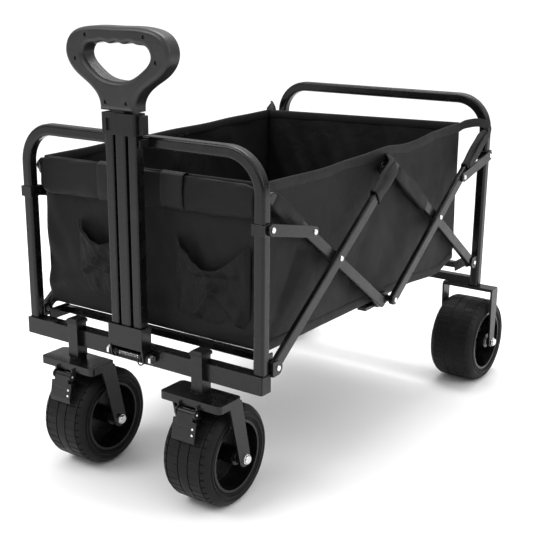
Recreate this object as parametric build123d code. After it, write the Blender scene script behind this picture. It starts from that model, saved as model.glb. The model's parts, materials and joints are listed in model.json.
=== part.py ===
from build123d import *
import math
import os

# Folding camp wagon, all sizes in millimetres.
# X is across the wagon, -Y is the handle end, +Z is up.
# The origin is on the floor, under the middle of the whole wagon.

# Driving dimensions
wheel_r = 89.0            # 7 inch wheels
tyre_w = 97.0
rim_r = 63.0
hoop_span = 800.0         # between the front and rear hoops' centre planes
hoop_half = 248.0         # centre of an upright
hoop_tube = 20.0
hoop_wall = 1.5
hoop_top = 602.0
hoop_bend = 62.0
beam_low, beam_high = 227.0, 257.0
stem_x, stem_s, trail = 138.0, -12.0, 37.0
rear_wheel_x = 237.0
bar_angle = 35.4          # scissor bars above the horizontal, opened out
bar_h, bar_t = 20.0, 10.0
inner_x, outer_x = 240.0, 250.5     # the two layers that the scissor bars lie in
pivot_s, pivot_z = 24.0, 264.0      # lower bar's pivot, behind its hoop
cross_s = 214.0           # where a side's two front bars cross
hub_half = 13.0           # half the distance between a hub's two pivots
rivet_r, pin_r = 4.7, 4.0
handle_s, hinge_z = -26.0, 244.0
collar_low, collar_high = 614.0, 648.0
basket_half, basket_low, basket_high = 231.0, 284.0, 556.0
wall = 3.0
gap = 0.3                 # between faces that move past each other
running = 0.05            # radial clearance of a pin in its hole

# The wagon's box runs from the front tyres' tread to the rear tyres' tread
front_y = -(hoop_span + (wheel_r - stem_s - trail) + wheel_r) / 2 + (wheel_r - stem_s - trail)
middle_s = hoop_span / 2

nodes = {}


def point(x, s, z):
    """A point at s millimetres behind the front hoop's plane."""
    return (x, front_y + s, z)


def block(x0, x1, s0, s1, z0, z1):
    size = (abs(x1 - x0), abs(s1 - s0), abs(z1 - z0))
    return Pos(*point((x0 + x1) / 2, (s0 + s1) / 2, (z0 + z1) / 2)) * Box(*size)


def pin(radius, x0, x1, s, z):
    """A round pin across the wagon."""
    length = abs(x1 - x0)
    return Pos(*point((x0 + x1) / 2, s, z)) * Rot(0, 90, 0) * Cylinder(radius, length)


def post(radius, x, s, z0, z1):
    return Pos(*point(x, s, (z0 + z1) / 2)) * Cylinder(radius, z1 - z0)


def side_plate(outline, x0, x1):
    """A plate across X, from an outline of (s, z) points or a face drawn in (s, z)."""
    face = make_face(Polyline(*outline, close=True)) if isinstance(outline, list) else outline
    low, high = min(x0, x1), max(x0, x1)
    return extrude(Plane(origin=point(low, 0, 0), x_dir=(0, 1, 0), z_dir=(1, 0, 0)) * face, high - low)


def pair(shape):
    """The shape and its mirror image on the wagon's other side."""
    return [shape, mirror(shape, Plane.YZ)]


def mirrored(shape, side):
    return shape if side > 0 else mirror(shape, Plane.YZ)


def slot(a, b, height):
    """An outline with round ends around two (s, z) points."""
    middle = ((a[0] + b[0]) / 2, (a[1] + b[1]) / 2)
    angle = math.degrees(math.atan2(b[1] - a[1], b[0] - a[0]))
    return Pos(*middle) * Rot(0, 0, angle) * SlotCenterToCenter(math.dist(a, b), height)


def add(name, *shapes):
    """Keep the shapes' solids as one named node."""
    solids = [solid for shape in shapes for piece in (shape if isinstance(shape, list) else [shape])
              for solid in piece.solids()]
    nodes[name] = solids[0] if len(solids) == 1 else Compound(children=solids)
    nodes[name].label = name


def dome(radius, height, x, s, z, outward):
    """A rivet or bolt head with rounded rim; outward is +1 or -1 along X."""
    head = pin(radius, x, x + outward * height, s, z)
    rim = head.edges().sort_by(Axis.X)[-1 if outward > 0 else 0]
    return fillet(rim, height * 0.6)


# Scissor geometry: where each bar's pivots are when the wagon is open
slope = math.tan(math.radians(bar_angle))
hub_s = middle_s - hub_half
cross_z = pivot_z + slope * (cross_s - pivot_s)
top_z = pivot_z + slope * (hub_s - pivot_s)
hub_z = cross_z - slope * (hub_s - cross_s)
free_s = 27.0             # upper end of a bar whose top stays free
free_z = cross_z + slope * (cross_s - free_s)
stay_reach = 111.0        # from the crossing to a stay's rivet, along the bar
stay_s = cross_s - stay_reach * math.cos(math.radians(bar_angle))
stay_z = cross_z + stay_reach * math.sin(math.radians(bar_angle))
clip_s, clip_z = 5.0, 489.5


def rear(a):
    """The matching (s, z) point in the rear half."""
    return (hoop_span - a[0], a[1])


lower = (pivot_s, pivot_z)
crossing = (cross_s, cross_z)
top_hub = (hub_s, top_z)
low_hub = (hub_s, hub_z)
free_end = (free_s, free_z)


def hoop(s, low):
    """A U of rounded square tube, open at the bottom."""
    corner = (hoop_half, hoop_top)
    path = FilletPolyline(
        point(-hoop_half, s, low), point(-corner[0], s, corner[1]),
        point(corner[0], s, corner[1]), point(hoop_half, s, low), radius=hoop_bend)
    start = Plane(origin=path @ 0, z_dir=path % 0)
    bore = hoop_tube - 2 * hoop_wall
    section = RectangleRounded(hoop_tube, hoop_tube, 5) - RectangleRounded(bore, bore, 5 - hoop_wall)
    return sweep(start * section, path)


def scissor_bar(a, b, x, holes):
    """A closed rectangular tube with round ends and a hole at each pivot."""
    body = side_plate(slot(a, b, bar_h), x, x + bar_t)
    rims = body.edges().filter_by(Plane.YZ)
    body = fillet(rims, 2.2)
    hollow = side_plate(slot(a, b, bar_h - 3.0), x + 1.5, x + bar_t - 1.5)
    for s, z in holes:
        hollow -= pin(7.5, x, x + bar_t, s, z)
    body -= hollow
    for s, z in holes:
        body -= pin(pin_r + running, x - 1, x + bar_t + 1, s, z)
    return body


def rivet(a, x0, x1):
    """A round rivet with a domed head on its outer end and a small one inside."""
    s, z = a
    return pin(pin_r, x0, x1, s, z) + dome(rivet_r, 2.4, x1, s, z, 1)


def build_front_frame():
    front, back = -14.0, 10.0
    half = hoop_half + hoop_tube / 2
    beam = block(-half, half, front, back, beam_low, beam_high)
    beam -= block(-half, half, front + 2, back - 2, beam_low + 2, beam_high - 2)
    sleeve = block(stem_x - 11, stem_x + 11, stem_s - 12, stem_s + 12, 208, 270)
    beam -= pair(sleeve)
    sleeve -= post(8 + running, stem_x, stem_s, 200, 264)
    add("front_beam", beam)
    add("front_hoop", hoop(0, beam_high))
    add("stem_sleeves", pair(sleeve))
    cap = block(stem_x - 13, stem_x + 13, stem_s - 14, stem_s + 14, 270, 275)
    cap += Pos(*point(stem_x, stem_s, 275)) * extrude(Rectangle(26, 28), 3, taper=45)
    plug = block(half, half + 2, front + 0.5, back - 0.5, beam_low + 0.5, beam_high - 0.5)
    plug += block(half - 12, half, front + 2.2, back - 2.2, beam_low + 2.2, beam_high - 2.2)
    add("frame_caps", pair(cap), pair(plug))
    bracket = pivot_bracket(lower, 246.5, 264.0, False)
    shank = pin(pin_r, 246.5, 264.0, *lower) + dome(rivet_r, 2.4, 264.0, *lower, 1)
    add("front_pivot_brackets", pair(bracket - shank))
    add("front_pivot_rivets", pair(shank))
    add("front_link_clips", pair(link_clip(0)))


def pivot_bracket(a, x0, x1, at_rear):
    """A folded steel fork around a bar's lower end, welded to the frame."""
    turn = -1 if at_rear else 1
    s, z = a
    web = s - turn * 14.0
    edge = s - turn * 11.0
    cheek = slot((s, z), (s - turn * 0.01, z), 24)
    ear = side_plate(cheek, x0, x0 + 3) + block(x0, x0 + 3, web, s, z - 12, z + 12)
    outer = side_plate(cheek, x1 - 3, x1) + block(x1 - 3, x1, web, s, z - 12, z + 12)
    return ear + outer + block(x0, x1, web, edge, z - 12, z + 12)


def link_clip(s):
    """A strap bent round the hoop's upright, which a stay is riveted to."""
    half = hoop_tube / 2
    x_in, x_out = hoop_half - half, hoop_half + half
    body = block(x_in - 2, x_out + 2.5, s - half - 2, s + half + 2, clip_z - 9, clip_z + 9)
    body -= block(x_in, x_out, s - half, s + half, clip_z - 20, clip_z + 20)
    return fillet(body.edges().filter_by(Axis.Z).group_by(SortBy.LENGTH)[-1], 1.5)


def build_handle_mount():
    lug = slot((handle_s, hinge_z), (handle_s + 0.01, hinge_z), 18)
    ears = []
    for x in (26.0, 39.5):
        ear = side_plate(lug, x, x + 3) + block(x, x + 3, handle_s, -14, hinge_z - 9, hinge_z + 9)
        ears.append(ear - pin(5 + running, x - 1, x + 4, handle_s, hinge_z))
    add("hinge_lugs", *[pair(ear) for ear in ears])
    bolt = pin(5, -45, 45, handle_s, hinge_z)
    for outward in (1, -1):
        hexagon = Plane(origin=point(outward * 43.5, handle_s, hinge_z), z_dir=(outward, 0, 0))
        bolt += extrude(hexagon * RegularPolygon(8, 6), 5)
    add("hinge_bolt", bolt)
    spring = pin(8, -22, 22, handle_s, hinge_z) - pin(6, -23, 23, handle_s, hinge_z)
    add("hinge_spring", spring)
    ring = Pos(*point(24, handle_s, hinge_z - 3.7)) * Rot(0, 90, 0) * Torus(10, 1.2)
    add("hinge_ring", ring)
    clip = block(-38, 38, -13.8, -hoop_tube / 2, 594, 610)
    clip += pair(block(34.2, 38, -31, -10, 596, 608))
    clip += block(-38, -30, -13.8, 13, 612, 613.6) + block(-38, -30, -13.8, -10, 606, 613.6)
    add("handle_catch", clip)


def build_handle():
    back = handle_s + 10
    base = block(-36.5, 36.5, handle_s - 14, handle_s - 11, 262, 297)
    cheek_outline = Pos(handle_s, hinge_z) * Circle(10) + Pos(handle_s - 1.5, 281) * Rectangle(25, 32)
    cheek = side_plate(make_hull(cheek_outline.edges()), 33.5, 36.5)
    cheek -= pin(5 + running, 30, 40, handle_s, hinge_z)
    base += pair(cheek)
    base += block(-33.5, 33.5, handle_s - 11, back, 258, 263)
    add("handle_base", base)
    outer = RectangleRounded(17, 20, 3) - RectangleRounded(14, 17, 1.8)
    rail = Plane(origin=point(24, handle_s, 263)) * outer
    add("handle_rails", pair(extrude(rail, collar_low + 6 - 263)))
    collar = block(-35, 35, handle_s - 15, back + 4, collar_low, collar_high)
    collar = fillet(collar.edges().filter_by(Axis.Z), 4)
    collar -= block(-10.5 - gap, 10.5 + gap, handle_s - 10.5 - gap, handle_s + 10.5 + gap, 600, 660)
    collar -= pair(block(15.5, 32.5, handle_s - 10, back, 600, collar_low + 6))
    collar -= block(-24, -14, handle_s - 16, handle_s - 12, 620, 640)
    collar -= block(34.9, 36, handle_s - 7, handle_s + 7, 616, 646)
    collar -= block(26, 36, handle_s - 5 - gap, handle_s + 5 + gap, 624 - gap, 638 + gap)
    add("handle_collar", collar)
    key = block(30, 38, handle_s - 5, handle_s + 5, 624, 638)
    key += block(38, 46, handle_s - 7, handle_s + 7, 616, 646)
    add("release_key", fillet(key.faces().sort_by(Axis.X)[-1].edges(), 1.5))
    section = RectangleRounded(21, 21, 3) - RectangleRounded(17.8, 17.8, 1.6)
    tube = extrude(Plane(origin=point(0, handle_s, 272)) * section, 684 - 272)
    add("centre_tube", tube)
    build_grip()


grip_low, grip_high = 651.0, 780.0
grip_half, grip_depth = 107.0, 34.0
grip_round = 8.0
screw_corners = [(60.0, 766.0), (83.0, 729.0), (21.7, 664.0)]


def build_grip():
    """A D-shaped grip in two shells, which the centre tube's top is clamped in."""
    right = [(37, grip_low), (39, 668), (50, 682), (72, 697), (92, 711), (grip_half, 741), (96, 766), (66, 778)]
    left = [(-x, z) for x, z in reversed(right)]
    outline = Spline(*right, (0, grip_high), *left) + Line((-37, grip_low), (37, grip_low))
    lower = [(30, 702), (52, 715), (69, 738), (60, 751)]
    waves = [(41, 753.5), (28, 756), (14, 753.5)]
    hole_right = lower + waves
    hole_left = [(-x, z) for x, z in reversed(hole_right)]
    hole = Spline((0, 697), *hole_right, (0, 756), *hole_left, periodic=True)
    face = make_face(outline) - make_face(hole)
    for name, turn in (("grip_front", 1), ("grip_back", -1)):
        split = handle_s - turn * 0.1
        plane = Plane(origin=point(0, split, 0), x_dir=(1, 0, 0), z_dir=(0, -1, 0))
        half = extrude(plane * face, turn * grip_depth / 2)
        rim = half.faces().sort_by(Axis.Y)[0 if turn > 0 else -1].edges()
        half = fillet(rim, grip_round)
        half -= block(-10.6, 10.6, handle_s - 10.6, handle_s + 10.6, 640, 684)
        if turn > 0:
            for x, z in screw_places():
                half -= Pos(*point(x, split - 8.5, z)) * Rot(90, 0, 0) * Cylinder(3.4, 17.1)
        add(name, half)
    screws = [Pos(*point(x, handle_s - 11, z)) * Rot(90, 0, 0) * Cylinder(3.2, 8) for x, z in screw_places()]
    add("grip_screws", screws)


def screw_places():
    return [(turn * x, z) for x, z in screw_corners for turn in (1, -1)]


def tyre(x):
    """A wide hollow tyre with a low crown and round shoulders."""
    half = tyre_w / 2
    crown = [(half - 15, wheel_r - 0.8), (0, wheel_r), (-half + 15, wheel_r - 0.8)]
    shoulder = [(-half, wheel_r - 14), (-half, rim_r + 6), (-half + 4, rim_r)]
    side, crown_wall = 8.0, 10.0
    inside = [(-half + side, rim_r), (-half + side, wheel_r - crown_wall),
              (half - side, wheel_r - crown_wall), (half - side, rim_r)]
    outline = [*crown, *shoulder, *inside, *[(-a, r) for a, r in reversed(shoulder)]]
    face = make_face(Polyline(*outline, close=True))
    return spun(face, x)


def spun(face, x):
    """A face of (along the axle, radius) points turned about the axle at x."""
    place = Plane(origin=(0, 0, 0), x_dir=(1, 0, 0), z_dir=(0, -1, 0))
    return Pos(x, 0, 0) * revolve(place * face, Axis.X)


def rim(x):
    """A dished plastic wheel: a barrel, a web near its middle and a long hub."""
    edge, barrel, hub = tyre_w / 2 - 3.0, 5.0, 15.0
    outline = [
        (edge, rim_r - gap), (-edge, rim_r - gap), (-edge, rim_r - barrel), (-7, rim_r - barrel - 3),
        (-7, hub), (-edge, hub), (-edge, 6.0), (edge, 6.0), (edge, hub), (7, hub),
        (7, rim_r - barrel - 3), (edge, rim_r - barrel)]
    return spun(make_face(Polyline(*outline, close=True)), x)


def place_wheel(shape, s):
    return Pos(0, front_y + s, wheel_r) * shape


def axle(x, half, s):
    """A bolt through the wheel with a domed hexagonal head at each end."""
    bolt = pin(5.95, x - half, x + half, s, wheel_r)
    for outward in (1, -1):
        face = Plane(origin=point(x + outward * half, s, wheel_r), z_dir=(outward, 0, 0))
        bolt += extrude(face * RegularPolygon(9.5, 6), 4)
        bolt += dome(7.5, 4, x + outward * (half + 4), s, wheel_r, outward)
    return bolt


def build_caster(side):
    name = "right" if side > 0 else "left"
    wheel_s = stem_s + trail
    plate = block(stem_x - 62, stem_x + 62, -44, 16, 190, 203)
    plate = fillet(plate.edges().filter_by(Axis.Z), 8)
    plate -= block(stem_x - 59, stem_x + 59, -41, 13, 189, 200)
    legs = []
    for turn in (1, -1):
        x0, x1 = stem_x + turn * 58, stem_x + turn * 62
        shape = make_hull((Pos(wheel_s, wheel_r) * Circle(14) + Pos(0, 192) * Rectangle(30, 10)).edges())
        leg = side_plate(shape, x0, x1) - pin(6, stem_x + turn * 50, stem_x + turn * 70, wheel_s, wheel_r)
        boss = pin(11, stem_x + turn * 49.5, x0, wheel_s, wheel_r) - pin(6, x0 - 20, x0 + 20, wheel_s, wheel_r)
        legs += [leg, boss]
    fork = plate + legs
    for x in (stem_x - 20, stem_x + 17):
        shape = slot((-49, 182), (-49.01, 182), 16)
        fork += side_plate(shape, x, x + 3) + block(x, x + 3, -49, -43, 174, 196)
        fork -= pin(3 + running, x - 1, x + 4, -49, 182)
    fork -= post(8, stem_x, stem_s, 180, 210)
    add(f"caster_fork_{name}", mirrored(fork, side))
    stem = post(8, stem_x, stem_s, 199, 262) + post(15, stem_x, stem_s, 203, 207.5)
    stem += post(12, stem_x, stem_s, 196, 200)
    add(f"caster_bolts_{name}", mirrored(stem, side), mirrored(axle(stem_x, 62, wheel_s), side))
    add(f"front_tyre_{name}", mirrored(place_wheel(tyre(stem_x), wheel_s), side))
    add(f"front_rim_{name}", mirrored(place_wheel(rim(stem_x), wheel_s), side))
    add(f"brake_pedal_{name}", mirrored(brake_pedal(), side))


def brake_pedal():
    """A foot lever in front of the tyre, with a shoe that turns onto the tread."""
    s, z = -49.0, 182.0
    barrel = pin(6, stem_x - 16.5, stem_x + 16.5, s, z)
    shoe = side_plate([(s - 4, z - 3), (s + 4, z + 3), (s + 22.2, z - 19.6), (s + 13.9, z - 26.0)],
                      stem_x - 14, stem_x + 14)
    neck = side_plate([(s - 6, z + 1), (s - 3, z - 2), (s - 6.5, z - 20), (s - 9.5, z - 20)],
                      stem_x - 16, stem_x + 16)
    plate = side_plate([(s - 7.5, z - 11), (s - 4.5, z - 11), (s - 9, z - 40), (s - 12.5, z - 39)],
                       stem_x - 23, stem_x + 23)
    foot = block(stem_x - 23, stem_x + 23, s - 12.5, s - 8.5, z - 46, z - 38)
    pedal = barrel + shoe + neck + plate + foot
    return pedal


def build_rear_frame():
    s = hoop_span
    add("rear_hoop", hoop(s, 208))
    beam = block(-hoop_half + 10, hoop_half - 10, s - 8, s + 8, 210, 226)
    beam -= block(-300, 300, s - 6.4, s + 6.4, 211.6, 224.4)
    add("rear_beam", beam)
    x = rear_wheel_x
    plate = fillet(block(x - 57, x + 57, s - 15, s + 15, 202, 208).edges().filter_by(Axis.Z), 3)
    fork = plate
    for turn in (1, -1):
        shape = make_hull((Pos(s, wheel_r) * Circle(11) + Pos(s, 203) * Rectangle(30, 2)).edges())
        x0, x1 = x + turn * 53, x + turn * 57
        leg = side_plate(shape, x0, x1) - pin(6, x + turn * 40, x + turn * 60, s, wheel_r)
        boss = pin(10, x + turn * 49.5, x0, s, wheel_r) - pin(6, x0 - 20, x0 + 20, s, wheel_r)
        fork += [leg, boss]
    add("rear_forks", pair(fork))
    add("rear_axles", pair(axle(x, 57, s)))
    for side, name in ((1, "right"), (-1, "left")):
        add(f"rear_tyre_{name}", mirrored(place_wheel(tyre(x), s), side))
        add(f"rear_rim_{name}", mirrored(place_wheel(rim(x), s), side))
    bracket = pivot_bracket(rear(lower), 236.5, 253.5, True)
    shank = pin(pin_r, 236.5, 253.5, *rear(lower)) + dome(rivet_r, 2.4, 253.5, *rear(lower), 1)
    add("rear_pivot_brackets", pair(bracket - shank))
    add("rear_pivot_rivets", pair(shank))
    add("rear_link_clips", pair(link_clip(s)))
    add("rear_cross_tube", cross_tube(True))


def cross_tube(at_rear):
    """A square tube under the floor's end, on two short arms from the frame."""
    turn, place = (-1, rear) if at_rear else (1, lambda a: a)
    middle = place((52, 262))[0]
    tube = block(-226, 226, middle - 6, middle + 6, 256, 268)
    tube -= block(-300, 300, middle - 4.5, middle + 4.5, 257.5, 266.5)
    start = place((10, 0))[0]
    arm = block(226, 229, start, middle + turn * 8, 250, 271)
    return tube + pair(arm)


def build_scissors():
    holes_a = [lower, crossing, top_hub]
    bar_a = scissor_bar(lower, top_hub, outer_x, holes_a)
    bar_b = scissor_bar(low_hub, free_end, inner_x, [low_hub, crossing])
    bar_c = scissor_bar(rear(low_hub), rear(free_end), outer_x, [rear(low_hub), rear(crossing)])
    bar_d = scissor_bar(rear(top_hub), rear(lower), inner_x, [rear(lower), rear(crossing), rear(top_hub)])
    add("front_outer_bars", pair(bar_a))
    add("front_inner_bars", pair(bar_b))
    add("rear_outer_bars", pair(bar_c))
    add("rear_inner_bars", pair(bar_d))
    outside = outer_x + bar_t
    add("front_cross_rivets", pair(rivet(crossing, inner_x, outside)))
    low_rivet = pin(pin_r, outside - 4, outside, *rear(low_hub)) + dome(
        rivet_r, 2.4, outside, *rear(low_hub), 1)
    add("rear_cross_rivets", pair(rivet(rear(crossing), inner_x, outside)), pair(low_rivet))
    add("top_hubs", pair(top_hub_plate()))
    add("low_hub", low_hub_block())
    add("front_stays", pair(stay(lambda a: a)))
    add("rear_stays", pair(stay(rear)))
    add("front_stay_rivets", *[pair(one) for one in stay_rivets(lambda a: a)])
    add("rear_stay_rivets", *[pair(one) for one in stay_rivets(rear)])


def top_hub_plate():
    """A short link inside the upper joint that carries one pin for each bar."""
    other = rear(top_hub)
    plate = side_plate(slot(top_hub, other, 22), 236.4, 239.6)
    for a, x1 in ((top_hub, 260.5), (other, 250.0)):
        plate += pin(pin_r, 236.4, x1, *a)
    plate += pin(6, 239.6, outer_x - gap, *top_hub)
    return plate


def low_hub_block():
    """The lower joint's block on each side and the cross tube between them."""
    other = rear(low_hub)
    body = side_plate(slot(low_hub, other, 24), 233.0, 239.6)
    body += pin(pin_r, 236.4, 250.0, *low_hub)
    body += pin(pin_r, 236.4, outer_x + bar_t - 4 - gap, *other)
    body += pin(6, 239.6, outer_x - gap, *other)
    body += block(214, 233, middle_s - 8, middle_s + 8, hub_z - 12, hub_z + 4)
    body += block(216, 233, middle_s - 48, middle_s - 8, hub_z - 12, hub_z - 6)
    tube = pin(7, -214, 214, middle_s, hub_z - 4) - pin(5.6, -300, 300, middle_s, hub_z - 4)
    return pair(body)[0] + pair(body)[1] + tube


def stay(place):
    """A flat steel strap from the hoop's clip to the upper part of a bar."""
    a, b = place((clip_s, clip_z)), place((stay_s, stay_z))
    body = side_plate(slot(a, b, 19), 261.0, 265.0)
    return body - pin(pin_r, 250, 270, *a) - pin(pin_r, 250, 270, *b)


def stay_rivets(place):
    a, b = place((clip_s, clip_z)), place((stay_s, stay_z))
    at_clip = pin(pin_r, 260.8, 265, *a) + dome(rivet_r, 2.4, 265, *a, 1)
    at_bar = pin(pin_r, 260.8, 265, *b) + dome(rivet_r, 2.4, 265, *b, 1)
    if place(lower) == lower:
        at_bar += pin(6, 250.0 + gap, 260.8, *b)
    return [at_clip, at_bar]


def build_basket():
    """A box of five fabric panels between the hoops, with the floor's front tube."""
    front, back = 20.0, 712.0
    add("basket_front", block(-basket_half, basket_half, front, front + wall, basket_low, basket_high))
    add("basket_rear", block(-basket_half, basket_half, back - wall, back, basket_low, basket_high))
    inner, inner_half = front + wall, basket_half - wall
    side = block(inner_half, basket_half, inner, back - wall, basket_low, basket_high)
    add("basket_side_right", side)
    add("basket_side_left", mirror(side, Plane.YZ))
    floor_top = basket_low + wall
    add("basket_floor", block(-inner_half, inner_half, inner, back - wall, basket_low, floor_top))
    add("front_cross_tube", cross_tube(False))


build_front_frame()
build_handle_mount()
build_handle()
for caster_side in (1, -1):
    build_caster(caster_side)
build_rear_frame()
build_scissors()
build_basket()

os.makedirs("parts", exist_ok=True)
for node, shape in nodes.items():
    export_step(shape, f"parts/{node}.step")
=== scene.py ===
import json
import math
import bmesh
import bpy
from mathutils import Matrix, Vector


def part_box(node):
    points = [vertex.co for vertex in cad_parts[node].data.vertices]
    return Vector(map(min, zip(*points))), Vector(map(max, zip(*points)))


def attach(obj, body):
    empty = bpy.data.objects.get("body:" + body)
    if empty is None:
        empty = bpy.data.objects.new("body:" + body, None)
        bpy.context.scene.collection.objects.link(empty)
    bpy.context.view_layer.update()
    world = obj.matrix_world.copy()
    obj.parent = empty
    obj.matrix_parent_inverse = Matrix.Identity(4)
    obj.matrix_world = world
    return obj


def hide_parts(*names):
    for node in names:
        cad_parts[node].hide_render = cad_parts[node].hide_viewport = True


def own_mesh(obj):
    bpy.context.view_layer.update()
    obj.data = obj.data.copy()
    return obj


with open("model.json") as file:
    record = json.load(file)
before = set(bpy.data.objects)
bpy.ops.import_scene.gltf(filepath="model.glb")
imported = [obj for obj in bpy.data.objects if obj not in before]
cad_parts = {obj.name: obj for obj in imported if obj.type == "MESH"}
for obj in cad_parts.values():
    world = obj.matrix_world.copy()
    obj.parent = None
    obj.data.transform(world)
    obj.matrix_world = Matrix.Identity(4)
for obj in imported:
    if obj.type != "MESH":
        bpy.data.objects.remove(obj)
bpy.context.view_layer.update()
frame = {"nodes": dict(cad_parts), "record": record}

# Studio: a plain pale floor, a pale room and three soft panels of light.
# The floor is only the stage. The camera stands in front and to the right, a little above the basket.
front_y = (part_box("front_hoop")[0].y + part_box("front_hoop")[1].y) / 2


def place(x, s, z):
    """A point at x, s behind the front hoop's plane and z above the floor, all in metres."""
    return Vector((x, front_y + s, z))


def finish_mesh(name, bm, body, material, smooth=True):
    """Keep a bmesh as a named piece that rides on a body."""
    mesh = bpy.data.meshes.new(name)
    bm.to_mesh(mesh)
    bm.free()
    piece = bpy.data.objects.new(name, mesh)
    bpy.context.scene.collection.objects.link(piece)
    for face in mesh.polygons:
        face.use_smooth = smooth
    if material:
        mesh.materials.append(material)
    if body:
        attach(piece, body)
    return piece


def new_material(name, color, roughness, metallic=0.0, gloss=0.5):
    material = bpy.data.materials.new(name)
    material.use_nodes = True
    shader = material.node_tree.nodes["Principled BSDF"]
    shader.inputs["Base Color"].default_value = (*color, 1)
    shader.inputs["Roughness"].default_value = roughness
    shader.inputs["Metallic"].default_value = metallic
    shader.inputs["Specular IOR Level"].default_value = gloss
    return material


floor_material = new_material("studio_floor", (0.93, 0.92, 0.925), 0.7)
bm = bmesh.new()
bmesh.ops.create_grid(bm, x_segments=2, y_segments=2, size=150)
floor = finish_mesh("studio_floor", bm, None, floor_material)

world = bpy.data.worlds.new("studio_room")
bpy.context.scene.world = world
world.use_nodes = True
room = world.node_tree
# The ceiling is bright and the walls are dim, so that upright faces stay dark and top edges catch light.
around = room.nodes.new("ShaderNodeTexCoord")
height = room.nodes.new("ShaderNodeSeparateXYZ")
room.links.new(around.outputs["Generated"], height.inputs["Vector"])
ceiling = room.nodes.new("ShaderNodeMapRange")
for label, value in {"From Min": 0.02, "From Max": 0.55, "To Min": 0.10, "To Max": 1.25}.items():
    ceiling.inputs[label].default_value = value
room.links.new(height.outputs["Z"], ceiling.inputs["Value"])
seen = room.nodes.new("ShaderNodeLightPath")
strength = room.nodes.new("ShaderNodeMix")
room.links.new(seen.outputs["Is Camera Ray"], strength.inputs["Factor"])
room.links.new(ceiling.outputs["Result"], strength.inputs["A"])
strength.inputs["B"].default_value = 1
room.links.new(strength.outputs["Result"], room.nodes["Background"].inputs["Strength"])
room.nodes["Background"].inputs["Color"].default_value = (1, 1, 1, 1)


def soft_panel(name, location, aim, size, power):
    light = bpy.data.lights.new(name, "AREA")
    light.shape = "RECTANGLE"
    light.size, light.size_y = size
    light.energy = power
    panel = bpy.data.objects.new(name, light)
    bpy.context.scene.collection.objects.link(panel)
    panel.location = location
    panel.rotation_euler = (Vector(aim) - Vector(location)).to_track_quat("-Z", "Y").to_euler()


soft_panel("key_panel", (-1.2, -2.4, 2.6), (0, -0.1, 0.3), (1.6, 1.0), 42)
soft_panel("side_panel", (2.6, 0.2, 1.7), (0, 0, 0.3), (0.5, 1.8), 16)
soft_panel("top_panel", (-0.2, 0.7, 2.8), (0, 0, 0.3), (1.6, 0.8), 46)
sky = bpy.data.lights.new("even_light", "SUN")
sky.energy, sky.angle = 0.25, math.radians(70)
even_light = bpy.data.objects.new("even_light", sky)
bpy.context.scene.collection.objects.link(even_light)

camera_data = bpy.data.cameras.new("camera")
camera_data.lens = 70.3
camera_data.sensor_width = 36
camera_data.shift_x, camera_data.shift_y = 0.0849, 0.0228
camera = bpy.data.objects.new("camera", camera_data)
bpy.context.scene.collection.objects.link(camera)
yaw, pitch, roll = math.radians(37.11), math.radians(16.85), math.radians(-0.32)
camera.matrix_world = (
    Matrix.Translation(place(1.1365, -1.2795, 0.8722))
    @ Matrix.Rotation(yaw, 4, "Z")
    @ Matrix.Rotation(math.pi / 2 - pitch, 4, "X")
    @ Matrix.Rotation(roll, 4, "Z"))
bpy.context.scene.camera = camera
bpy.context.scene.view_settings.view_transform = "Standard"

# Steel tube frame: square hoops, beams, scissor bars, forks and brackets of mild steel.
# It is welded, then powder coated satin black; the coat has a fine orange-peel grain and rounds every edge.


def link(tree, source, target):
    tree.links.new(source, target)


def start_group(name, inputs, outputs):
    """A shader node group with named float inputs and named outputs."""
    group = bpy.data.node_groups.new(name, "ShaderNodeTree")
    for label, value in inputs:
        socket = group.interface.new_socket(label, in_out="INPUT", socket_type="NodeSocketFloat")
        socket.default_value = value
    for label, kind in outputs:
        group.interface.new_socket(label, in_out="OUTPUT", socket_type=kind)
    return group, group.nodes.new("NodeGroupInput"), group.nodes.new("NodeGroupOutput")


def add_node(tree, kind, **values):
    node = tree.nodes.new(kind)
    for label, value in values.items():
        setattr(node, label, value)
    return node


hard_finish, group_in, group_out = start_group(
    "hard_finish",
    [("Grain size", 1200), ("Grain depth", 0.2), ("Edge radius", 0.001), ("Low roughness", 0.3),
     ("High roughness", 0.5)],
    [("Normal", "NodeSocketVector"), ("Roughness", "NodeSocketFloat"), ("Edge", "NodeSocketFloat"),
     ("Dust", "NodeSocketFloat")])
tree = hard_finish
coords = add_node(tree, "ShaderNodeTexCoord")
grain = add_node(tree, "ShaderNodeTexNoise")
grain.inputs["Detail"].default_value = 3
link(tree, coords.outputs["Object"], grain.inputs["Vector"])
link(tree, group_in.outputs["Grain size"], grain.inputs["Scale"])
rounded = add_node(tree, "ShaderNodeBevel", samples=4)
link(tree, group_in.outputs["Edge radius"], rounded.inputs["Radius"])
bump = add_node(tree, "ShaderNodeBump")
bump.inputs["Distance"].default_value = 0.0004
link(tree, group_in.outputs["Grain depth"], bump.inputs["Strength"])
link(tree, grain.outputs["Fac"], bump.inputs["Height"])
link(tree, rounded.outputs["Normal"], bump.inputs["Normal"])
link(tree, bump.outputs["Normal"], group_out.inputs["Normal"])
patches = add_node(tree, "ShaderNodeTexNoise")
patches.inputs["Scale"].default_value = 34
patches.inputs["Detail"].default_value = 4
link(tree, coords.outputs["Object"], patches.inputs["Vector"])
spread = add_node(tree, "ShaderNodeMapRange")
spread.inputs["From Min"].default_value = 0.35
spread.inputs["From Max"].default_value = 0.65
link(tree, patches.outputs["Fac"], spread.inputs["Value"])
link(tree, group_in.outputs["Low roughness"], spread.inputs["To Min"])
link(tree, group_in.outputs["High roughness"], spread.inputs["To Max"])
link(tree, spread.outputs["Result"], group_out.inputs["Roughness"])
# Edge mask: strong where the rounded bevel normal turns away from the true one; coat() uses it for a painted
# highlight on the edges.
surface = add_node(tree, "ShaderNodeNewGeometry")
turned = add_node(tree, "ShaderNodeVectorMath", operation="DOT_PRODUCT")
link(tree, rounded.outputs["Normal"], turned.inputs[0])
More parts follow.
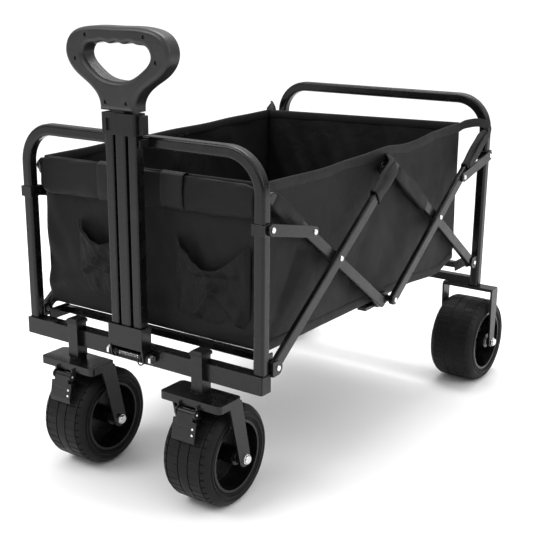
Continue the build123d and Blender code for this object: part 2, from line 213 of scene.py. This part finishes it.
link(tree, surface.outputs["Normal"], turned.inputs[1])
edge = add_node(tree, "ShaderNodeMapRange")
edge.inputs["From Min"].default_value = 0.995
edge.inputs["From Max"].default_value = 0.9
link(tree, turned.outputs["Value"], edge.inputs["Value"])
link(tree, edge.outputs["Result"], group_out.inputs["Edge"])
dust = add_node(tree, "ShaderNodeMapRange")
dust.inputs["From Min"].default_value = 0.55
dust.inputs["From Max"].default_value = 0.8
link(tree, patches.outputs["Fac"], dust.inputs["Value"])
link(tree, dust.outputs["Result"], group_out.inputs["Dust"])


def coat(material, base, highlight_color, grain_size, depth, edge_radius, low, high):
    """Put the hard finish on a material: base colour, a painted highlight that makes the edges paler, grain
    and uneven gloss.
    """
    tree = material.node_tree
    shader = tree.nodes["Principled BSDF"]
    finish = add_node(tree, "ShaderNodeGroup", node_tree=hard_finish)
    values = {"Grain size": grain_size, "Grain depth": depth, "Edge radius": edge_radius,
              "Low roughness": low, "High roughness": high}
    for label, value in values.items():
        finish.inputs[label].default_value = value
    # The paler colour on the edges is a painted highlight, mixed in where the bevel's edge mask is strong.
    edge_highlight = add_node(tree, "ShaderNodeMix", data_type="RGBA")
    edge_highlight.inputs["A"].default_value = (*base, 1)
    edge_highlight.inputs["B"].default_value = (*highlight_color, 1)
    link(tree, finish.outputs["Edge"], edge_highlight.inputs["Factor"])
    dusty = add_node(tree, "ShaderNodeMix", data_type="RGBA")
    dusty.inputs["B"].default_value = (*[min(1, 1.5 * part + 0.004) for part in base], 1)
    link(tree, finish.outputs["Dust"], dusty.inputs["Factor"])
    link(tree, edge_highlight.outputs["Result"], dusty.inputs["A"])
    link(tree, dusty.outputs["Result"], shader.inputs["Base Color"])
    link(tree, finish.outputs["Normal"], shader.inputs["Normal"])
    link(tree, finish.outputs["Roughness"], shader.inputs["Roughness"])
    return material


def dress(material, *names):
    """Give CAD nodes a finished material."""
    for name in names:
        node = frame["nodes"][name]
        if not node.material_slots:
            node.data.materials.append(material)
        for held in node.material_slots:
            held.material = material


powder_coat = coat(new_material("powder_coat", (0.004, 0.004, 0.0045), 0.4, gloss=0.3),
                   (0.0035, 0.0035, 0.004), (0.035, 0.035, 0.038), 900, 0.22, 0.0016, 0.16, 0.32)
slots = {part["node"]: part["material_slot"] for part in frame["record"]["subparts"]}
in_slot = {}
for node_name, slot_name in slots.items():
    in_slot.setdefault(slot_name, []).append(node_name)
dress(powder_coat, *in_slot["frame_paint"])

# Rivets, axle bolts and hinge bolt: bright zinc or nickel plated steel.
# The screws, spring and split ring are bare steel, a little darker. The casters' stems are painted black.
bright_plate = coat(new_material("bright_plate", (0.75, 0.75, 0.76), 0.2, 1.0),
                    (0.72, 0.72, 0.73), (0.9, 0.9, 0.9), 2500, 0.08, 0.0006, 0.12, 0.26)
dress(bright_plate, *in_slot["chrome"])
swivel_bolts = bright_plate.copy()
swivel_bolts.name = "swivel_bolts"
tree = swivel_bolts.node_tree
rim_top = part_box("front_rim_left")[1].z
spot = add_node(tree, "ShaderNodeTexCoord")
level = add_node(tree, "ShaderNodeSeparateXYZ")
below = add_node(tree, "ShaderNodeMath", operation="LESS_THAN")
below.inputs[1].default_value = rim_top
link(tree, spot.outputs["Object"], level.inputs["Vector"])
link(tree, level.outputs["Z"], below.inputs[0])
link(tree, below.outputs["Value"], tree.nodes["Principled BSDF"].inputs["Metallic"])
stem_black = add_node(tree, "ShaderNodeMix", data_type="RGBA")
stem_black.inputs["A"].default_value = (0.004, 0.004, 0.004, 1)
plated = tree.nodes["Principled BSDF"].inputs["Base Color"].links[0].from_socket
link(tree, below.outputs["Value"], stem_black.inputs["Factor"])
link(tree, plated, stem_black.inputs["B"])
link(tree, stem_black.outputs["Result"], tree.nodes["Principled BSDF"].inputs["Base Color"])
dress(swivel_bolts, "caster_bolts_left", "caster_bolts_right")
bare_steel = coat(new_material("bare_steel", (0.2, 0.2, 0.2), 0.3, 1.0),
                  (0.05, 0.05, 0.052), (0.4, 0.4, 0.4), 2500, 0.15, 0.0004, 0.22, 0.4)
dress(bare_steel, *in_slot["spring_steel"])

# Caps, handle clip, collar and release key: injection moulded black nylon with a fine spark texture.
# The grip is the same, with a leather-like grain.
black_nylon = coat(new_material("black_nylon", (0.008, 0.008, 0.0085), 0.5, gloss=0.25),
                   (0.005, 0.005, 0.0055), (0.02, 0.02, 0.021), 1600, 0.4, 0.0008, 0.36, 0.52)
dress(black_nylon, *in_slot["black_plastic"])
grip_plastic = coat(new_material("grip_plastic", (0.011, 0.011, 0.0115), 0.45, gloss=0.4),
                    (0.011, 0.011, 0.0115), (0.022, 0.022, 0.023), 520, 0.6, 0.001, 0.3, 0.46)
dress(grip_plastic, *in_slot["grip_plastic"])
rim_plastic = coat(new_material("rim_plastic", (0.005, 0.005, 0.0055), 0.4, gloss=0.3),
                   (0.003, 0.003, 0.0033), (0.016, 0.016, 0.017), 900, 0.2, 0.001, 0.2, 0.34)
dress(rim_plastic, *in_slot["rim_plastic"])

# Tyres: hollow moulded black rubber with a plain crown, fine sipes, blocky shoulders and two side rings.
# Each is pressed over its rim's barrel.
tyre_rubber = coat(new_material("tyre_rubber", (0.008, 0.008, 0.008), 0.6, gloss=0.16),
                   (0.005, 0.005, 0.0053), (0.02, 0.02, 0.021), 700, 0.35, 0.0009, 0.42, 0.62)
tyre_round = 160
sipe_every = 4


def tyre(name, body, node, rugged):
    low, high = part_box(node)
    centre, radius = (low + high) / 2, (high.z - low.z) / 2
    half = (high.x - low.x) / 2
    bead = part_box(node.replace("tyre", "rim"))[1].z - centre.z + 0.0005
    depth = 0.0022 if rugged else 0.0012
    outline = [(0, radius - 0.0002)]
    for groove in (0.010, 0.034):
        top = radius - 0.0002 - 0.018 * groove
        outline += [(groove - 0.0012, top), (groove - 0.0009, top - depth), (groove + 0.0009, top - depth),
                    (groove + 0.0012, top)]
    outline += [
        (half - 0.0075, radius - 0.0035), (half - 0.003, radius - 0.008), (half - 0.0008, radius - 0.012),
        (half - 0.0022, radius - 0.0135), (half - 0.0026, radius - 0.0175), (half - 0.0006, radius - 0.0183),
        (half - 0.0006, radius - 0.0208), (half - 0.0028, radius - 0.0215), (half - 0.003, radius - 0.0232),
        (half - 0.001, radius - 0.0237), (half - 0.0025, bead + 0.0005), (half - 0.006, bead),
        (half - 0.0085, bead), (half - 0.0085, radius - 0.0105), (0, radius - 0.0102)]
    bm = bmesh.new()
    ring = [bm.verts.new((x, 0, r)) for x, r in outline]
    ring += [bm.verts.new((-x, 0, r)) for x, r in reversed(outline[1:-1])]
    edges = [bm.edges.new((a, b)) for a, b in zip(ring, ring[1:] + ring[:1])]
    bmesh.ops.spin(bm, geom=ring + edges, cent=(0, 0, 0), axis=(1, 0, 0), dvec=(0, 0, 0),
                   angle=2 * math.pi, steps=tyre_round, use_merge=True, use_duplicate=False)
    bmesh.ops.remove_doubles(bm, verts=bm.verts, dist=0.00001)
    bmesh.ops.recalc_face_normals(bm, faces=bm.faces)
    bm.faces.ensure_lookup_table()
    sipes, notches = [], []
    for face in bm.faces:
        middle = face.calc_center_median()
        around = math.atan2(middle.y, middle.z) / (2 * math.pi) * tyre_round
        step = int(round(around - 0.5)) % sipe_every
        out = math.hypot(middle.y, middle.z)
        if out < radius - 0.004 or step != 0:
            continue
        if 0.0112 < abs(middle.x) < 0.0328 and face.calc_area() > 0.00003:
            sipes.append(face)
        elif abs(middle.x) >= 0.0352:
            notches.append(face)
    for chosen, inset, sink in ((sipes, 0.0010, depth * 0.55), (notches, 0.0005, depth * 0.9)):
        bmesh.ops.inset_region(bm, faces=chosen, thickness=inset, depth=-sink, use_even_offset=True,
                               use_boundary=True)
    bmesh.ops.translate(bm, verts=bm.verts, vec=centre)
    piece = finish_mesh(name, bm, body, tyre_rubber, smooth=False)
    for face in piece.data.polygons:
        face.use_smooth = True
    piece.data.set_sharp_from_angle(angle=math.radians(34))
    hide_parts(node)


for end, rugged in (("front", True), ("rear", False)):
    for side in ("left", "right"):
        tyre(f"{end}_{side}_tread", f"{end}_wheel_{side}", f"{end}_tyre_{side}", rugged)

# Hinge spring: a torsion spring of bare steel wire wound round the handle's hinge bolt.
spring_low, spring_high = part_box("hinge_spring")
spring_centre = (spring_low + spring_high) / 2
wire, coils = 0.0009, 13
coil_radius = (spring_high.z - spring_low.z) / 2 - wire
bm = bmesh.new()
bmesh.ops.create_circle(bm, segments=8, radius=wire, matrix=Matrix.Translation((
    spring_low.x + wire, 0, coil_radius)) @ Matrix.Rotation(math.pi / 2, 4, "X"))
bmesh.ops.spin(bm, geom=bm.verts[:] + bm.edges[:], cent=(0, 0, 0), axis=(1, 0, 0),
               dvec=((spring_high.x - spring_low.x - 2 * wire) / (coils * 20), 0, 0),
               angle=2 * math.pi * coils, steps=coils * 20, use_duplicate=False)
bmesh.ops.holes_fill(bm, edges=bm.edges, sides=8)
bmesh.ops.recalc_face_normals(bm, faces=bm.faces)
bmesh.ops.translate(bm, verts=bm.verts, vec=(0, spring_centre.y, spring_centre.z))
coil = finish_mesh("hinge_coil", bm, "front_frame", bare_steel)
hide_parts("hinge_spring")

# Brake rivets: small bright domed heads. Each pedal's hinge pin has one at either end,
# and two more fix the return plate to the pedal's right edge.
head = 0.0023
pin_half = 0.0205


def rivet_heads(name, body, spots):
    """Domed heads, flattened along the way they face."""
    bm = bmesh.new()
    for spot, facing in spots:
        flatten = Matrix.Diagonal([0.6 if abs(part) > 0.5 else 1 for part in facing]).to_4x4()
        bmesh.ops.create_uvsphere(bm, u_segments=14, v_segments=8, radius=head,
                                  matrix=Matrix.Translation(spot) @ flatten)
    return finish_mesh(name, bm, body, bright_plate)


for side in ("left", "right"):
    pedal_low, pedal_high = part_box(f"brake_pedal_{side}")
    middle = (pedal_low.x + pedal_high.x) / 2
    pin_y, pin_z = front_y - 0.049, 0.182
    rivet_heads(f"brake_pin_{side}", f"caster_{side}", [
        (Vector((middle + turn * pin_half, pin_y, pin_z)), (1, 0, 0)) for turn in (-1, 1)])
    rivet_heads(f"brake_studs_{side}", f"brake_{side}", [
        (Vector((middle + 0.018, pin_y - 0.0098, pin_z - 0.022)), (0, 1, 0)),
        (Vector((middle + 0.018, pin_y - 0.0118, pin_z - 0.032)), (0, 1, 0))])

# Basket cloth: black polyester oxford, coated on the inside, in a plain weave of about 0.8 mm.
# The five panels are sewn together; the ends hang from the hoops and the sides from the scissor bars.
weave, group_in, group_out = start_group(
    "oxford_weave", [("Thread", 0.0008), ("Depth", 0.5)],
    [("Normal", "NodeSocketVector"), ("Tone", "NodeSocketFloat"), ("Roughness", "NodeSocketFloat")])
tree = weave
laid = add_node(tree, "ShaderNodeUVMap", uv_map="cloth")
count = add_node(tree, "ShaderNodeMath", operation="DIVIDE")
count.inputs[0].default_value = 1
link(tree, group_in.outputs["Thread"], count.inputs[1])
threads = add_node(tree, "ShaderNodeVectorMath", operation="SCALE")
link(tree, laid.outputs["UV"], threads.inputs[0])
link(tree, count.outputs["Value"], threads.inputs["Scale"])
crossed = add_node(tree, "ShaderNodeTexChecker")
crossed.inputs["Scale"].default_value = 1
crossed.inputs["Color1"].default_value = (1, 1, 1, 1)
crossed.inputs["Color2"].default_value = (0, 0, 0, 1)
link(tree, threads.outputs["Vector"], crossed.inputs["Vector"])
split = add_node(tree, "ShaderNodeSeparateXYZ")
link(tree, threads.outputs["Vector"], split.inputs["Vector"])
humps = []
for axis in ("X", "Y"):
    turns = add_node(tree, "ShaderNodeMath", operation="MULTIPLY")
    turns.inputs[1].default_value = math.pi
    link(tree, split.outputs[axis], turns.inputs[0])
    wave = add_node(tree, "ShaderNodeMath", operation="SINE")
    link(tree, turns.outputs["Value"], wave.inputs[0])
    hump = add_node(tree, "ShaderNodeMath", operation="ABSOLUTE")
    link(tree, wave.outputs["Value"], hump.inputs[0])
    humps.append(hump)
over = add_node(tree, "ShaderNodeMix", data_type="FLOAT")
link(tree, crossed.outputs["Fac"], over.inputs["Factor"])
link(tree, humps[0].outputs["Value"], over.inputs["A"])
link(tree, humps[1].outputs["Value"], over.inputs["B"])
bump = add_node(tree, "ShaderNodeBump")
bump.inputs["Distance"].default_value = 0.0003
link(tree, group_in.outputs["Depth"], bump.inputs["Strength"])
link(tree, over.outputs["Result"], bump.inputs["Height"])
coords = add_node(tree, "ShaderNodeTexCoord")
creases = add_node(tree, "ShaderNodeTexNoise")
creases.inputs["Scale"].default_value = 26
creases.inputs["Detail"].default_value = 5
creases.inputs["Distortion"].default_value = 0.6
link(tree, coords.outputs["Object"], creases.inputs["Vector"])
crumple = add_node(tree, "ShaderNodeBump")
crumple.inputs["Strength"].default_value = 0.6
crumple.inputs["Distance"].default_value = 0.004
link(tree, creases.outputs["Fac"], crumple.inputs["Height"])
link(tree, crumple.outputs["Normal"], bump.inputs["Normal"])
link(tree, bump.outputs["Normal"], group_out.inputs["Normal"])
tone = add_node(tree, "ShaderNodeMapRange")
tone.inputs["To Min"].default_value = 0.25
link(tree, over.outputs["Result"], tone.inputs["Value"])
link(tree, tone.outputs["Result"], group_out.inputs["Tone"])
rough = add_node(tree, "ShaderNodeMapRange")
rough.inputs["To Min"].default_value = 0.36
rough.inputs["To Max"].default_value = 0.58
link(tree, creases.outputs["Fac"], rough.inputs["Value"])
link(tree, rough.outputs["Result"], group_out.inputs["Roughness"])
cloth_gloss = 0.16


def cloth_material(name, dark, pale, thread, depth, sheen):
    material = new_material(name, dark, 0.65, gloss=cloth_gloss)
    tree = material.node_tree
    shader = tree.nodes["Principled BSDF"]
    shader.inputs["Sheen Weight"].default_value = sheen
    shader.inputs["Sheen Roughness"].default_value = 0.45
    woven = add_node(tree, "ShaderNodeGroup", node_tree=weave)
    woven.inputs["Thread"].default_value = thread
    woven.inputs["Depth"].default_value = depth
    tint = add_node(tree, "ShaderNodeMix", data_type="RGBA")
    tint.inputs["A"].default_value = (*dark, 1)
    tint.inputs["B"].default_value = (*pale, 1)
    link(tree, woven.outputs["Tone"], tint.inputs["Factor"])
    link(tree, tint.outputs["Result"], shader.inputs["Base Color"])
    link(tree, woven.outputs["Normal"], shader.inputs["Normal"])
    link(tree, woven.outputs["Roughness"], shader.inputs["Roughness"])
    return material


oxford = cloth_material("oxford_cloth", (0.0022, 0.0022, 0.0025), (0.0062, 0.0062, 0.0069), 0.0008, 0.5, 0.01)
webbing = cloth_material("webbing", (0.002, 0.002, 0.002), (0.010, 0.010, 0.011), 0.0016, 0.8, 0.02)
netting = cloth_material("pocket_cloth", (0.002, 0.002, 0.0024), (0.006, 0.006, 0.0066), 0.0012, 0.7, 0.01)


def sheet(name, body, across, up, shape, thickness=0.0009, material=oxford):
    """A cloth sheet: shape(u, v) places each corner of an even grid, u and v from 0 to 1.
    Its UV map is laid out in metres, measured along the cloth."""
    bm = bmesh.new()
    bmesh.ops.create_grid(bm, x_segments=across, y_segments=up, size=0.5)
    where = {vert: (vert.co.x + 0.5, vert.co.y + 0.5) for vert in bm.verts}
    for vert, (u, v) in where.items():
        vert.co = shape(u, v)
    steps = 60
    wide = sum((shape((i + 1) / steps, 0.5) - shape(i / steps, 0.5)).length for i in range(steps))
    tall = sum((shape(0.5, (i + 1) / steps) - shape(0.5, i / steps)).length for i in range(steps))
    layer = bm.loops.layers.uv.new("cloth")
    for face in bm.faces:
        for loop in face.loops:
            u, v = where[loop.vert]
            loop[layer].uv = (u * wide, v * tall)
    piece = finish_mesh(name, bm, body, material)
    shell = piece.modifiers.new("thickness", "SOLIDIFY")
    shell.thickness = thickness
    shell.offset = 0
    return piece, (wide, tall)


def smooth_path(pairs, t):
    """The height at t along a row of (place, height) pairs, eased between them."""
    if t <= pairs[0][0]:
        return pairs[0][1]
    for (a, low), (b, high) in zip(pairs, pairs[1:]):
        if t <= b:
            share = (t - a) / (b - a)
            share = share * share * (3 - 2 * share)
            return low + (high - low) * share
    return pairs[-1][1]


def ripple(a, b, size):
    """A soft, uneven wrinkle from a few crossing waves."""
    return size * (math.sin(9.1 * a + 2.3 * b + 0.7) + 0.6 * math.sin(17.3 * a - 6.1 * b + 1.9)
                   + 0.4 * math.sin(31.0 * a + 13.0 * b))


def ridge(x, z, a, b, size, spread):
    """A sharp fold of the cloth along the line from a to b."""
    reach = Vector((b[0] - a[0], b[1] - a[1]))
    along = Vector((x - a[0], z - a[1]))
    share = max(0, min(1, along.dot(reach) / reach.length_squared))
    away = (along - reach * share).length
    return size * max(0, 1 - away / spread) ** 1.4


basket_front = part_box("basket_front")
basket_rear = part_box("basket_rear")
half_wall = 0.0015
half_in = basket_front[1].x - half_wall
wall_front = basket_front[0].y - front_y + half_wall
wall_rear = basket_rear[1].y - front_y - half_wall
floor_z = basket_front[0].z + half_wall
rim_z = basket_front[1].z
run = wall_rear - wall_front


def crumple_shut(piece):
    """Give the piece its own copy of its mesh; the cloth is not crumpled."""
    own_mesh(piece)


side_tops = {
    1: [(0.02, rim_z - 0.006), (0.153, rim_z - 0.009), (0.3, rim_z - 0.007), (0.4, rim_z - 0.002),
        (0.49, rim_z - 0.008), (0.6, rim_z + 0.001), (0.712, rim_z + 0.004)],
    -1: [(0.02, rim_z - 0.009), (0.4, rim_z - 0.007), (0.712, rim_z - 0.004)]}
side_bottom = [(0.02, 0.286), (0.5, 0.283), (0.64, 0.274), (0.712, 0.290)]
# Folds where the bars and stays press on the cloth: from, to, depth and spread
side_folds = (
    ((0.040, 0.300), (0.132, 0.424), 0.006, 0.022), ((0.132, 0.424), (0.190, 0.416), 0.004, 0.020),
    ((0.300, 0.330), (0.380, 0.480), 0.003, 0.030), ((0.560, 0.330), (0.650, 0.470), 0.003, 0.030))


def side_shape(turn):
    def shape(u, v):
        s = wall_front + u * run
        low, high = smooth_path(side_bottom, s), smooth_path(side_tops[turn], s)
        z = low + (high - low) * v
        belly = 0.004 * math.sin(math.pi * u) * math.sin(math.pi * v)
        fold = ripple(s * 3.1, z * 3.6, 0.0019) * math.sin(math.pi * min(1, v * 1.1))
        tension = 0.0022 * math.sin(34 * (s + 1.4 * z)) * (v ** 2)
        end = min(1, 7 * u, 7 * (1 - u))
        pulled = sum(ridge(s, z, *line) for line in side_folds)
        return place(turn * (half_in + 0.001 + belly + end * (fold + tension - pulled)), s, z)
    return shape


for side, turn in (("right", 1), ("left", -1)):
    panel, flat = sheet(f"side_cloth_{side}", "low_hub", 96, 44, side_shape(turn))
    crumple_shut(panel)
    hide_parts(f"basket_side_{side}")


def floor_shape(u, v):
    s = wall_front + v * run
    x = (2 * u - 1) * half_in
    sag = -0.002 * math.sin(math.pi * v) * math.sin(math.pi * u)
    return place(x, s, floor_z + 0.002 + sag + ripple(x * 5, s * 5, 0.0005))


floor_cloth, flat = sheet("floor_cloth", "low_hub", 40, 60, floor_shape)
crumple_shut(floor_cloth)
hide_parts("basket_floor")


def end_shape(s, left_z, right_z, bow):
    def shape(u, v):
        x = (2 * u - 1) * (half_in + half_wall)
        top = left_z + (right_z - left_z) * u
        z = floor_z + (top - floor_z) * v
        fold = ripple(x * 4, z * 5, 0.0024) * math.sin(math.pi * v)
        fold -= bow / abs(bow) * 0.006 * math.exp(-((v - 0.14 - 0.05 * math.sin(6 * u)) / 0.07) ** 2)
        return place(x, s + bow * math.sin(math.pi * u) * math.sin(math.pi * v) + fold, z)
    return shape


front_shape = end_shape(wall_front, 0.548, 0.552, 0.002)
front_cloth, flat = sheet("front_cloth", "front_frame", 70, 40, front_shape)
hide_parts("basket_front")
rear_shape = end_shape(wall_rear, 0.553, 0.562, -0.004)
rear_cloth, flat = sheet("rear_cloth", "rear_frame", 70, 40, rear_shape)
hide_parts("basket_rear")

# Hems: the cloth's edges are turned over and bound with black webbing.
# A bound edge runs round the rim of the basket and another along each side's lower edge.
hem_half, hem_round = 0.0022, 0.009


def hem_ring(t):
    """A point on a flat oval, from 0 to 1 round it, as (out, up)."""
    turn = 2 * math.pi * t
    return hem_half * math.cos(turn), hem_round * math.copysign(abs(math.sin(turn)) ** 0.6, math.sin(turn))


def cloth_tube(along, around, shape, lay):
    """A closed tube through shape(u, v), v going round it; lay(point) gives its place on the cloth."""
    bm = bmesh.new()
    loops = []
    for i in range(along + 1):
        ring = [bm.verts.new(shape(i / along, j / around)) for j in range(around)]
        loops.append([bm.edges.new((a, b)) for a, b in zip(ring, ring[1:] + ring[:1])])
    for one, two in zip(loops, loops[1:]):
        bmesh.ops.bridge_loops(bm, edges=one + two)
    bmesh.ops.holes_fill(bm, edges=bm.edges, sides=around)
    bmesh.ops.recalc_face_normals(bm, faces=bm.faces)
    layer = bm.loops.layers.uv.new("cloth")
    for face in bm.faces:
        for loop in face.loops:
            loop[layer].uv = lay(loop.vert.co)
    return bm


def hem(name, body, along, line, drop):
    """A bound edge: an oval tube that follows line(u), its middle drop below it."""
    def shape(u, v):
        centre, outward = line(u)
        out, up = hem_ring(v)
        return centre + outward * out + Vector((0, 0, up - drop))
    bm = cloth_tube(along, 12, shape, lambda spot: (spot.x + spot.y, spot.z))
    return finish_mesh(name, bm, body, webbing)


for side, turn in (("right", 1), ("left", -1)):
    shape = side_shape(turn)
    rim = hem(f"side_rim_{side}", "low_hub", 80, lambda u: (shape(u, 1), Vector((turn, 0, 0))), 0.005)
    crumple_shut(rim)
    foot = hem(f"side_foot_{side}", "low_hub", 80, lambda u: (shape(u, 0), Vector((turn, 0, 0))), -0.002)
    crumple_shut(foot)
for name, body, shape in (("front_rim", "front_frame", front_shape), ("rear_rim", "rear_frame", rear_shape)):
    hem(name, body, 50, lambda u: (shape(u, 1), Vector((0, 1, 0))), 0.006)

# Front flap: the spare end of the front wall is rolled down over itself, outside the wall.
# Two hook and loop straps hold it, wrapped round the roll.
roll_low, roll_high = 0.497, 0.552
roll_half = 0.228
roll_s, roll_deep = 0.0125, 0.0065


def roll_ring(x, t):
    turn = 2 * math.pi * t
    end = min(1, (roll_half - abs(x)) / 0.02)
    tall = (roll_high - roll_low) / 2 * (0.72 + 0.28 * math.sqrt(max(0, end)))
    lean = -0.010 * (0.5 - x / (2 * roll_half))
    up = math.copysign(abs(math.sin(turn)) ** 0.75, math.sin(turn)) * tall
    deep = roll_deep * (1 + 0.12 * math.sin(38 * x) + 0.08 * math.sin(71 * x + 1))
    out = math.cos(turn) * deep * (1.1 - 0.25 * math.sin(turn))
    pinch = 1 - 0.3 * sum(math.exp(-((x - c) / 0.02) ** 2) for c in (-0.073, 0.07))
    z = (roll_low + roll_high) / 2 + up + lean * (0.5 - 0.5 * math.sin(turn))
    return place(x, roll_s + out * pinch + 0.0006 * math.sin(90 * x + 5 * turn), z)


bm = cloth_tube(96, 28, lambda u, v: roll_ring((2 * u - 1) * roll_half, v),
                lambda spot: (spot.x, spot.z + spot.y))
roll = finish_mesh("front_flap_roll", bm, "front_frame", oxford)


def strap_shape(centre_x, width, top, bottom):
    """A strap that comes over the roll's top, down its front and under it."""
    path = [(0.0215, top - 0.004), (0.0200, top + 0.003), (0.0125, top + 0.005), (0.0045, top + 0.001),
            (0.0030, top - 0.012), (0.0025, (top + bottom) / 2), (0.0035, bottom + 0.010),
            (0.0070, bottom - 0.001), (0.0130, bottom - 0.002)]

    def shape(u, v):
        t = v * (len(path) - 1)
        i = min(int(t), len(path) - 2)
        share = t - i
        s = path[i][0] + (path[i + 1][0] - path[i][0]) * share
        z = path[i][1] + (path[i + 1][1] - path[i][1]) * share
        return place(centre_x + (u - 0.5) * width, s - 0.0006 * math.sin(math.pi * u), z)
    return shape


for name, centre_x, width, top, bottom in (("strap_left", -0.073, 0.034, 0.551, 0.493),
                                           ("strap_right", 0.070, 0.045, 0.551, 0.500)):
    shape = strap_shape(centre_x, width, top, bottom)
    strap, flat = sheet(name, "front_frame", 8, 32, shape, 0.0014, webbing)

# Pockets: two open-topped pouches of lighter cloth sewn to the front wall.
# They are empty, so their fronts slump in folds, and an elastic hem gathers each mouth.


def pocket_shape(x0, x1, z0, left_z, right_z, sag, folds):
    def shape(u, v):
        x = x0 + (x1 - x0) * u
        mouth = left_z + (right_z - left_z) * u - sag * math.sin(math.pi * u) ** 1.3
        z = z0 + (mouth - z0) * v
        edge = min(1, 9 * u, 9 * (1 - u))
        foot = min(1, 6 * v)
        puff = (0.004 + 0.011 * v ** 2 * math.sin(math.pi * u)) * edge * foot
        crease = sum(ridge(x, z, a, b, size, spread) for a, b, size, spread in folds)
        wave = ripple(x * 13, z * 12, 0.0014) * edge * foot
        return place(x, wall_front - 0.0028 - max(0, puff + wave + crease * edge * foot), z)
    return shape


pockets = (
    ("left", -0.152, -0.038, 0.318, 0.448, 0.440, 0.030, [
        ((-0.139, 0.362), (-0.105, 0.380), 0.009, 0.012), ((-0.105, 0.380), (-0.045, 0.358), 0.010, 0.012),
        ((-0.150, 0.444), (-0.100, 0.400), 0.007, 0.012)]),
    ("right", 0.066, 0.214, 0.308, 0.450, 0.452, 0.046, [
        ((0.112, 0.330), (0.148, 0.376), 0.010, 0.013), ((0.148, 0.376), (0.212, 0.316), 0.011, 0.014),
        ((0.070, 0.446), (0.115, 0.398), 0.008, 0.012), ((0.205, 0.446), (0.212, 0.330), 0.006, 0.012),
        ((0.118, 0.392), (0.190, 0.396), -0.006, 0.014)]))
for side, x0, x1, z0, left_z, right_z, sag, folds in pockets:
    shape = pocket_shape(x0, x1, z0, left_z, right_z, sag, folds)
    pouch, flat = sheet(f"pocket_{side}", "front_frame", 72, 64, shape, 0.0007, netting)

# Sleeves: tubes of doubled cloth sewn to the rim, which the scissor bars' upper ends are pushed into.
# They carry the sides of the basket, and turn with their bars.


def sleeve_shape(turn, mouth, end, inner, outer, tall, pulled):
    """A flat oval tube along a bar, its seam against the basket and its end pulled in to the rim."""
    run = Vector((end[0] - mouth[0], end[1] - mouth[1]))
    normal = Vector((-run.y, run.x)).normalized()

    def shape(u, v):
        angle = 2 * math.pi * v + math.pi
        middle, half = (inner + outer) / 2, (outer - inner) / 2
        loose = 1 + 0.10 * math.sin(9 * u + 2 * angle) * math.sin(math.pi * u) - 0.06 * u
        out = math.copysign(abs(math.cos(angle)) ** 0.55, math.cos(angle)) * half
        shut = max(0, u - 0.75) / 0.25
        height = tall * loose * (1 - 0.7 * shut * shut)
        up = math.copysign(abs(math.sin(angle)) ** 0.55, math.sin(angle)) * height
        flat = 1 - 0.75 * max(0, u - 0.82) / 0.18
        crease = 0.0008 * math.sin(60 * run.length * u + 3 * angle)
        lean = max(0, u - 0.72) / 0.28
        x = middle + out * flat + crease - (middle - half_in - 0.002) * lean * lean * (3 - 2 * lean) * pulled
        spot = Vector(mouth) + run * u + normal * up
        return place(turn * x, spot.x, spot.y)
    return shape


bar_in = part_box("front_inner_bars")
bar_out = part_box("front_outer_bars")
inner_layer = (bar_in[1].x - 0.0115, bar_in[1].x + 0.0016)
outer_layer = (bar_out[1].x - 0.0118, bar_out[1].x + 0.0018)
sleeves = (
    ("front_tip", "front_inner", (0.106, 0.4758), (0.010, 0.5440), inner_layer, 0.0138, 1),
    ("front_middle", "front_outer", (0.330, 0.4815), (0.417, 0.5420), outer_layer, 0.0150, 1),
    ("rear_middle", "rear_inner", (0.541, 0.4313), (0.392, 0.5365), inner_layer, 0.0138, 1),
    ("rear_tip", "rear_outer", (0.694, 0.4758), (0.785, 0.5405), outer_layer, 0.0130, 0))
for label, body, mouth, end, layer_x, tall, pulled in sleeves:
    for side, turn in (("right", 1), ("left", -1)):
        shape = sleeve_shape(turn, mouth, end, *layer_x, tall, pulled)
        piece, flat = sheet(f"sleeve_{label}_{side}", body, 36, 40, shape, 0.0012)

# Corner loops: narrow webbing sewn to the basket's rear corners.
# Each goes out round the tip of the rear bar and back along it, and holds the corner up.
loop_wide = 0.017


def corner_loop(turn):
    tip = outer_layer[1] + 0.0012
    path = [Vector(spot) for spot in (
        (half_in, 0.706, 0.552), (half_in + 0.006, 0.728, 0.559), (tip - 0.010, 0.755, 0.561),
        (tip, 0.778, 0.551), (tip + 0.001, 0.782, 0.537), (tip, 0.764, 0.5255), (tip, 0.732, 0.5025),
        (tip, 0.700, 0.480))]

    def shape(u, v):
        t = v * (len(path) - 1)
        i = min(int(t), len(path) - 2)
        f = t - i
        a, b, c, d = [path[max(0, min(len(path) - 1, i + k))] for k in (-1, 0, 1, 2)]
        spot = 0.5 * (2 * b + (c - a) * f + (2 * a - 5 * b + 4 * c - d) * f * f
                      + (3 * b - a - 3 * c + d) * f * f * f)
        ahead = c - b
        spot = spot + Vector((0, -ahead.z, ahead.y)).normalized() * (u - 0.5) * loop_wide
        return place(turn * spot.x, spot.y, spot.z)
    return shape


for side, turn in (("right", 1), ("left", -1)):
    strap, flat = sheet(f"corner_loop_{side}", "rear_outer", 6, 48, corner_loop(turn), 0.0014, webbing)
